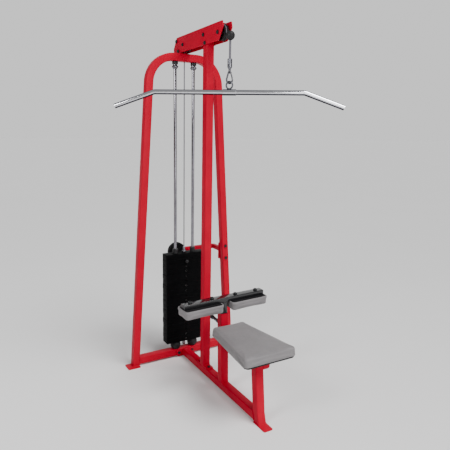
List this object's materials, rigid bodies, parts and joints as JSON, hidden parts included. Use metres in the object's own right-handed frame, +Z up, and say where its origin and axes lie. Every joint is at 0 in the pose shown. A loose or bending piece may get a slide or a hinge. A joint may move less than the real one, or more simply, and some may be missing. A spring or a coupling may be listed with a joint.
{
  "type": "lat pulldown machine",
  "caption": "Selectorised lat pulldown machine with a splayed hoop frame, overhead boom and pulleys, cable-hung bent bar, guided weight stack, adjustable thigh pads and a seat.",
  "frame": {"origin": "on the floor, at the middle of the machine's outline seen from above", "axes": "+Z up; -Y towards the seat and the user, +Y towards the weight stack; +X to the right of somebody who looks from the seat end to the stack"},
  "size_m": [1.1198, 1.2063, 2.174],
  "materials": {
    "red_frame": "semi-gloss red powder coat",
    "chrome": "polished",
    "zinc": "bright zinc plate",
    "black_iron": "satin black",
    "black_paint": "gloss black paint",
    "rubber": "matt",
    "nylon": "satin black nylon",
    "vinyl": "grey upholstery vinyl over foam",
    "board": "black backing board",
    "cable_coat": "grey nylon coat on steel wire rope",
    "bolt_black": "black oxide"
  },
  "bodies": {
    "frame": {"hoop_frame": "red_frame", "rear_cross_beam": "red_frame", "floor_beam": "red_frame", "main_post": "red_frame", "thigh_post": "red_frame", "front_leg": "red_frame", "seat_rail": "red_frame", "boom_channel": "red_frame", "idler_arm": "red_frame", "guide_rod_left": "chrome", "guide_rod_right": "chrome", "pin_housing": "zinc", "weight_plates": "black_iron", "bumper_left": "rubber", "bumper_right": "rubber", "rod_cap_left": "nylon", "rod_cap_right": "nylon", "seat_cushion": "vinyl", "seat_board": "board", "cable_boom_run": "cable_coat", "cable_rear_run": "cable_coat", "cable_front_run": "cable_coat", "front_pulley_axle": "bolt_black", "rear_pulley_axle": "bolt_black", "idler_axle": "bolt_black", "boom_bolt_post_upper": "bolt_black", "boom_bolt_post_lower": "bolt_black", "boom_bolt_rear_upper": "bolt_black", "boom_bolt_rear_lower": "bolt_black", "arm_bolt_upper": "bolt_black", "arm_bolt_lower": "bolt_black", "beam_bolt_left": "bolt_black", "beam_bolt_right": "bolt_black", "post_bolt_front": "bolt_black", "post_bolt_rear": "bolt_black"},
    "stack": {"head_plate": "black_iron", "weight_plate_01": "black_iron", "stack_bush_left": "nylon", "stack_bush_right": "nylon", "selector_stem": "zinc"},
    "selector": {"selector_pin": "nylon"},
    "cable_end": {"ball_stop": "rubber"},
    "hook_link": {"cable_ferrule": "zinc", "snap_hook": "zinc"},
    "gate": {"hook_gate": "zinc"},
    "hanger": {"bar_hanger": "zinc"},
    "pull_bar": {"lat_bar": "chrome"},
    "front_sheave": {"front_pulley": "nylon"},
    "rear_sheave": {"rear_pulley": "nylon"},
    "idler_sheave": {"idler_pulley": "nylon"},
    "thigh_rest": {"thigh_slider": "black_paint", "pad_board_left": "board", "pad_board_right": "board", "thigh_pad_left": "vinyl", "thigh_pad_right": "vinyl", "pad_bolt_left_inner": "bolt_black", "pad_bolt_left_outer": "bolt_black", "pad_bolt_right_inner": "bolt_black", "pad_bolt_right_outer": "bolt_black"},
    "plunger": {"pull_pin": "nylon"}
  },
  "joints": [
    {"name": "stack_lift", "type": "slide", "parent": "frame", "child": "stack", "axis": [0, 0, 1], "range_m": [0, 0.7], "deforming": ["cable_rear_run"]},
    {"name": "selector_draw", "type": "slide", "parent": "stack", "child": "selector", "axis": [0, -1, 0], "range_m": [0, 0.075]},
    {"name": "bar_pull", "type": "slide", "parent": "frame", "child": "cable_end", "axis": [0, 0, 1], "range_m": [-0.7, 0], "deforming": ["cable_front_run"]},
    {"name": "cable_swivel", "type": "hinge", "parent": "cable_end", "child": "hook_link", "pos_m": [0, -0.1292, 1.9], "axis": [0, 0, 1], "range_deg": [-24, 83]},
    {"name": "gate_hinge", "type": "hinge", "parent": "hook_link", "child": "gate", "pos_m": [0.01836, -0.12849, 1.86821], "axis": [-0.0384, 0.9993, 0], "range_deg": [-25, 0], "stiffness_Nm_per_rad": 0.05},
    {"name": "hanger_tilt", "type": "hinge", "parent": "hook_link", "child": "hanger", "pos_m": [0, -0.1292, 1.8316], "axis": [0.8813, 0.4726, 0], "range_deg": [-12, 12]},
    {"name": "bar_roll", "type": "hinge", "parent": "hanger", "child": "pull_bar", "pos_m": [0, -0.1292, 1.7949], "axis": [0.8678, -0.497, 0], "continuous": true},
    {"name": "front_pulley_spin", "type": "hinge", "parent": "frame", "child": "front_sheave", "pos_m": [0, -0.0481, 2.12], "axis": [1, 0, 0], "range_deg": [-5, 1010]},
    {"name": "rear_pulley_spin", "type": "hinge", "parent": "frame", "child": "rear_sheave", "pos_m": [0, 0.3862, 2.12], "axis": [1, 0, 0], "range_deg": [-5, 1010]},
    {"name": "idler_spin", "type": "hinge", "parent": "frame", "child": "idler_sheave", "pos_m": [0, 0.5463, 0.7405], "axis": [0, 1, 0], "continuous": true},
    {"name": "thigh_pad_slide", "type": "slide", "parent": "frame", "child": "thigh_rest", "axis": [-0.0218, 0, 0.9998], "range_m": [-0.018, 0.12]},
    {"name": "plunger_pull", "type": "slide", "parent": "frame", "child": "plunger", "axis": [0, 1, 0], "range_m": [0, 0.01], "stiffness_N_per_m": 1200, "springref_m": -0.005}
  ],
  "couplings": [
    {"joint": "bar_pull", "follows": "stack_lift", "ratio": -1},
    {"joint": "front_pulley_spin", "follows": "stack_lift", "rad_per_m": 25},
    {"joint": "rear_pulley_spin", "follows": "stack_lift", "rad_per_m": 25}
  ]
}
